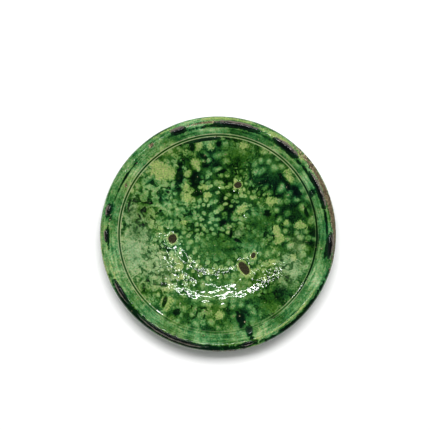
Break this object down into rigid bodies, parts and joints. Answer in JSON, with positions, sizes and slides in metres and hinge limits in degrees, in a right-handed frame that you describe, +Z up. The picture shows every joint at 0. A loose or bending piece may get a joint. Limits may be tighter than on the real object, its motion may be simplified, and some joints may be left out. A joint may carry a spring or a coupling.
{
  "type": "glazed earthenware plate",
  "caption": "Wheel-thrown earthenware plate with a wide shallow well, an incised line inside the rim, a mottled green glaze and dark glaze pools on the lip.",
  "frame": {"origin": "middle of the foot's standing face", "axes": "+Z up out of the dish, +X to the right and +Y to the top as the plate is seen from above"},
  "size_m": [0.2498, 0.2498, 0.0398],
  "materials": {
    "clay": "bare fired earthenware, dry and slightly gritty",
    "green_glaze": "thick glossy copper-green glaze, mottled from yellow-green to bottle green",
    "dark_glaze": "glossy near-black glaze where it pooled thickest",
    "spur_clay": "rough dark brown clay left by the kiln spurs"
  },
  "bodies": {
    "root": {"clay_body": "clay", "foot_ring": "clay", "face_glaze": "green_glaze", "back_glaze": "green_glaze", "rim_pool_top": "dark_glaze", "rim_pool_top_left": "dark_glaze", "rim_pool_top_right": "dark_glaze", "rim_pool_right_upper": "dark_glaze", "rim_pool_right": "dark_glaze", "rim_pool_left_drop": "dark_glaze", "rim_pool_left": "dark_glaze", "rim_pool_lower_left": "dark_glaze", "rim_pool_bottom_left": "dark_glaze", "rim_pool_bottom": "dark_glaze", "groove_pool_top": "dark_glaze", "groove_pool_right": "dark_glaze", "groove_run_bottom": "dark_glaze", "spur_scar_top": "spur_clay", "spur_scar_left": "spur_clay", "spur_scar_bottom": "spur_clay", "spur_scar_small": "spur_clay"}
  },
  "joints": []
}
